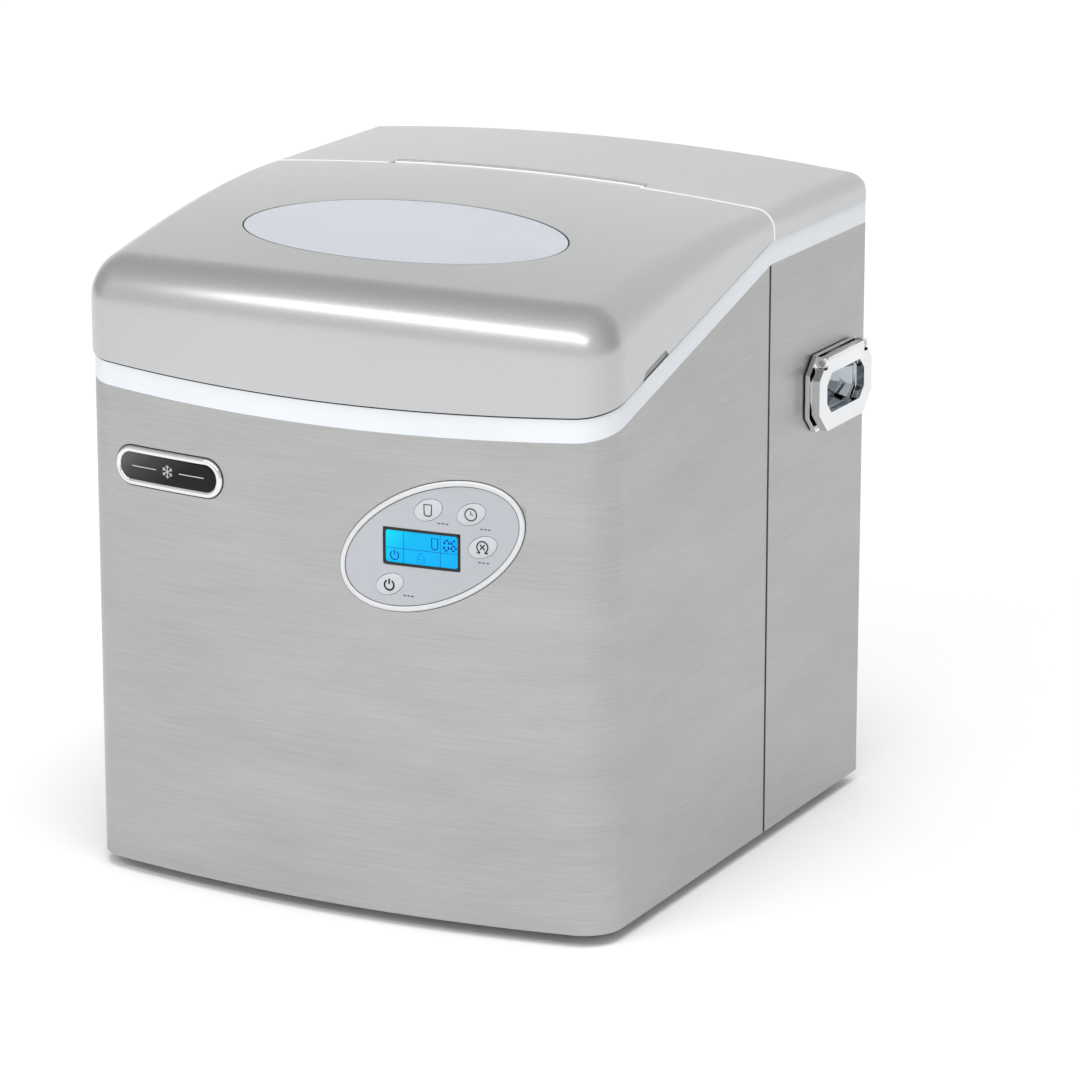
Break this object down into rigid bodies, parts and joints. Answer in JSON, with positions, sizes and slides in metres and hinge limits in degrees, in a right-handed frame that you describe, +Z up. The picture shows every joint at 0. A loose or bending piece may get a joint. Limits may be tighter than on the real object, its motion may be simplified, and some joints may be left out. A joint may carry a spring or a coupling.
{
  "type": "countertop ice maker",
  "caption": "Countertop ice maker: bowed brushed steel body, sloping white rim, hinged silver lid with oval window over a tub and basket, tilted oval control panel, folding side handles.",
  "frame": {"origin": "on the floor under the centre of the whole object", "axes": "+Z up, the front with its display faces -Y, +X to the right of a person facing along +Y"},
  "size_m": [0.3856, 0.403, 0.421],
  "materials": {
    "stainless": "brushed",
    "painted_steel": "satin",
    "silver_plastic": "satin",
    "white_plastic": "satin",
    "tub_plastic": "satin",
    "clear_window": "polished",
    "basket_plastic": "polished",
    "chrome": "polished",
    "bezel_silver": "satin",
    "panel_grey": "satin",
    "button_pad": "satin",
    "gloss_black": "polished",
    "lcd_blue": "polished",
    "circuit_board": "satin",
    "black_rubber": "matte",
    "steel": "satin",
    "black_paint": "satin",
    "black_plastic": "matte",
    "bright_metal": "satin",
    "copper": "satin",
    "clear_hose": "matte"
  },
  "bodies": {
    "housing": {"front_shell": "stainless", "left_side_panel": "stainless", "right_side_panel": "stainless", "back_panel": "painted_steel", "base_pan": "painted_steel", "front_left_foot": "black_rubber", "front_right_foot": "black_rubber", "rear_left_foot": "black_rubber", "rear_right_foot": "black_rubber", "rim_frame": "white_plastic", "rear_cover": "silver_plastic", "hinge_pin": "steel", "control_bezel": "bezel_silver", "control_panel": "panel_grey", "lcd_frame": "gloss_black", "lcd_display": "lcd_blue", "display_board": "circuit_board", "badge_frame": "chrome", "badge_plate": "gloss_black", "left_handle_base": "chrome", "left_handle_gasket": "black_rubber", "left_handle_pin": "steel", "right_handle_base": "chrome", "right_handle_gasket": "black_rubber", "right_handle_pin": "steel", "inner_tub": "tub_plastic", "evaporator": "bright_metal", "tray_motor": "black_plastic", "water_pump": "black_plastic", "water_hose": "clear_hose", "ice_sensors": "black_plastic", "compressor": "black_paint", "compressor_grommets": "black_rubber", "condenser": "bright_metal", "fan_shroud": "black_plastic", "fan_motor": "black_plastic", "filter_drier": "copper", "discharge_tube": "copper", "suction_tube": "copper", "control_board": "circuit_board", "drain_port": "white_plastic", "drain_hose": "clear_hose", "cord_gland": "black_rubber", "back_screws": "steel"},
    "lid": {"lid": "silver_plastic", "lid_liner": "white_plastic", "lid_window": "clear_window"},
    "left_bail": {"left_handle_bail": "chrome"},
    "right_bail": {"right_handle_bail": "chrome"},
    "select_key": {"select_button": "button_pad"},
    "timer_key": {"timer_button": "button_pad"},
    "clean_key": {"clean_button": "button_pad"},
    "power_key": {"power_button": "button_pad"},
    "tray": {"water_tray": "tub_plastic"},
    "rake": {"ice_rake": "tub_plastic"},
    "fan": {"fan_blade": "black_plastic"},
    "basket": {"ice_basket": "basket_plastic"},
    "float": {"water_float": "white_plastic"},
    "seal": {"drain_seal": "black_rubber"},
    "cap": {"drain_cap": "white_plastic"}
  },
  "joints": [
    {"name": "lid_hinge", "type": "hinge", "parent": "housing", "child": "lid", "pos_m": [0, 0.051, 0.413], "axis": [-1, 0, 0], "range_deg": [0, 75]},
    {"name": "left_handle_fold", "type": "hinge", "parent": "housing", "child": "left_bail", "pos_m": [-0.1894, 0.138, 0.304], "axis": [0, 1, 0], "range_deg": [0, 90]},
    {"name": "right_handle_fold", "type": "hinge", "parent": "housing", "child": "right_bail", "pos_m": [0.1894, 0.138, 0.304], "axis": [0, -1, 0], "range_deg": [0, 90]},
    {"name": "tray_tilt", "type": "hinge", "parent": "housing", "child": "tray", "pos_m": [0, 0, 0.316], "axis": [1, 0, 0], "range_deg": [0, 75]},
    {"name": "rake_swing", "type": "hinge", "parent": "housing", "child": "rake", "pos_m": [0, 0.024, 0.28], "axis": [-1, 0, 0], "range_deg": [0, 55]},
    {"name": "fan_spin", "type": "hinge", "parent": "housing", "child": "fan", "pos_m": [0.078, 0.126, 0.092], "axis": [0, 1, 0], "continuous": true},
    {"name": "basket_lift", "type": "slide", "parent": "housing", "child": "basket", "axis": [0, 0, 1], "range_m": [0, 0.04]},
    {"name": "float_slide", "type": "slide", "parent": "housing", "child": "float", "axis": [0, 0, 1], "range_m": [0, 0.012]},
    {"name": "drain_seal_slide", "type": "slide", "parent": "housing", "child": "seal", "axis": [0, 1, 0], "range_m": [0, 0.004]},
    {"name": "drain_cap_turn", "type": "hinge", "parent": "seal", "child": "cap", "pos_m": [-0.016, 0.196, 0.04], "axis": [0, 1, 0], "range_deg": [0, 720]},
    {"name": "select_press", "type": "slide", "parent": "housing", "child": "select_key", "axis": [-0.0823, 0.9966, 0], "range_m": [0, 0.0006], "stiffness_N_per_m": 600},
    {"name": "timer_press", "type": "slide", "parent": "housing", "child": "timer_key", "axis": [-0.1146, 0.9934, 0], "range_m": [0, 0.0006], "stiffness_N_per_m": 600},
    {"name": "clean_press", "type": "slide", "parent": "housing", "child": "clean_key", "axis": [-0.1231, 0.9924, 0], "range_m": [0, 0.0006], "stiffness_N_per_m": 600},
    {"name": "power_press", "type": "slide", "parent": "housing", "child": "power_key", "axis": [-0.0521, 0.9986, 0], "range_m": [0, 0.0006], "stiffness_N_per_m": 600}
  ],
  "couplings": [
    {"joint": "rake_swing", "follows": "tray_tilt", "ratio": 0.7333},
    {"joint": "drain_cap_turn", "follows": "drain_seal_slide", "rad_per_m": 3141.6}
  ]
}
